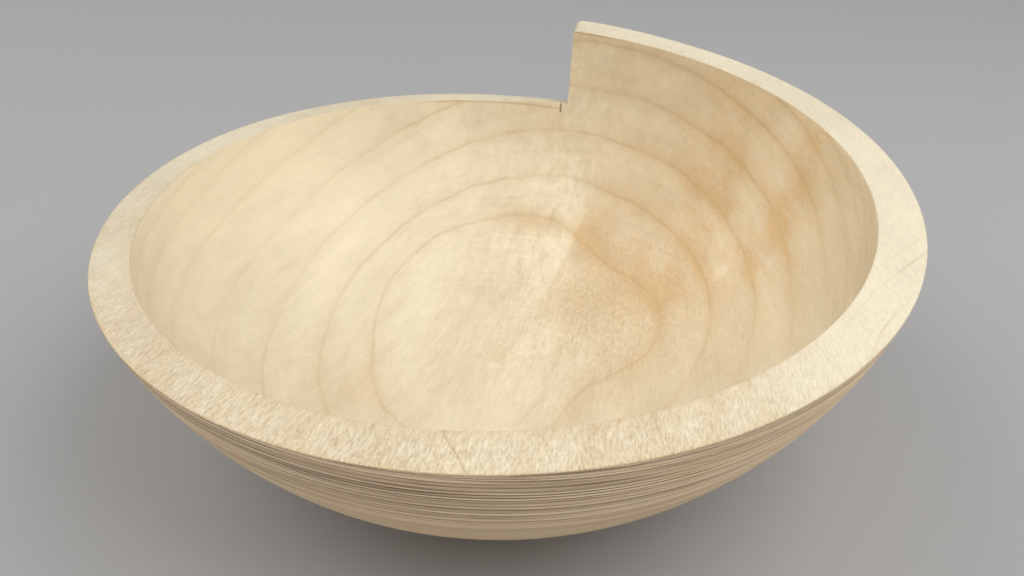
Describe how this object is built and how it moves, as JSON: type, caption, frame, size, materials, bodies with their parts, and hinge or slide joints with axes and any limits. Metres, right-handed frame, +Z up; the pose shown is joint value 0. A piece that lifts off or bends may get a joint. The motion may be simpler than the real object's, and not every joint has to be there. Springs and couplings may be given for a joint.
{
  "type": "turned wooden bowl",
  "caption": "Round turned wooden bowl on a flat foot, open at the top, with a broad sloping rim that climbs once round it as a helix and ends in an upright step.",
  "frame": {"origin": "centre of the flat foot, on the bowl's turning axis", "axes": "+Z up along the turning axis; the step lies in the plane X = 0 on the +Y side; the rim climbs anticlockwise seen from above"},
  "size_m": [0.2993, 0.3045, 0.1226],
  "materials": {
    "pale_wood": "bare pale close-grained wood, matt; sanded inside, fine turning lines outside, rasped on the rim's face"
  },
  "bodies": {
    "root": {"bowl": "pale_wood"}
  },
  "joints": []
}
